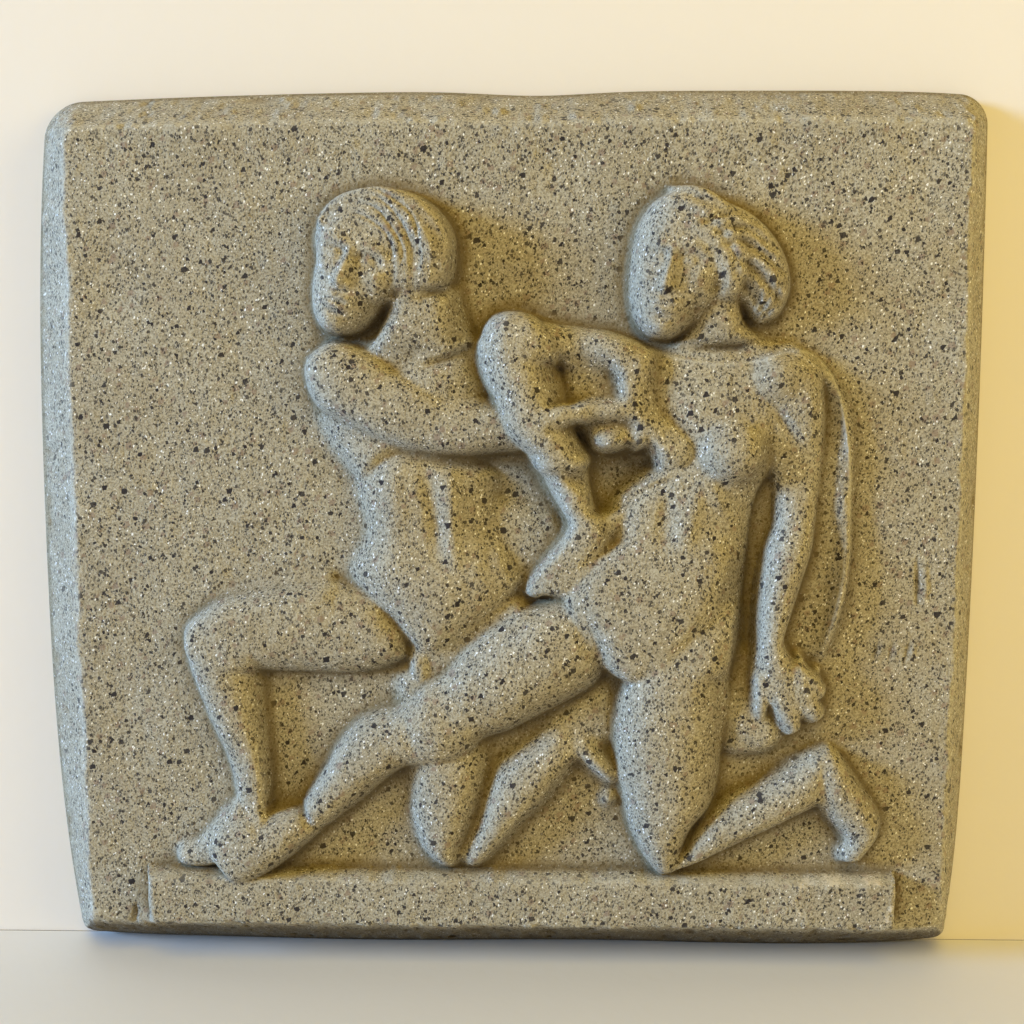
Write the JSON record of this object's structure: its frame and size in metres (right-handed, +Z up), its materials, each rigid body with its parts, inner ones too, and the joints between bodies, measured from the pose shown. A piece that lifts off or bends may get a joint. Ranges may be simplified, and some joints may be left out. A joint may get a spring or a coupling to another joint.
{
  "type": "wall relief",
  "caption": "Cast stone wall plaque with flared sides: a kneeling couple in high relief, holding each other, above a plain ledge, to hang by its flat back.",
  "frame": {"origin": "on the flat back, behind the middle of the front face", "axes": "+Z up, +Y into the wall, so that the carved front faces -Y; +X to the right as seen from the front"},
  "size_m": [0.4653, 0.0587, 0.4286],
  "materials": {
    "cast_stone": "matt grey-beige stone concrete with dark, brown and pale chips, softly worn"
  },
  "bodies": {
    "root": {"relief_plaque": "cast_stone"}
  },
  "joints": []
}
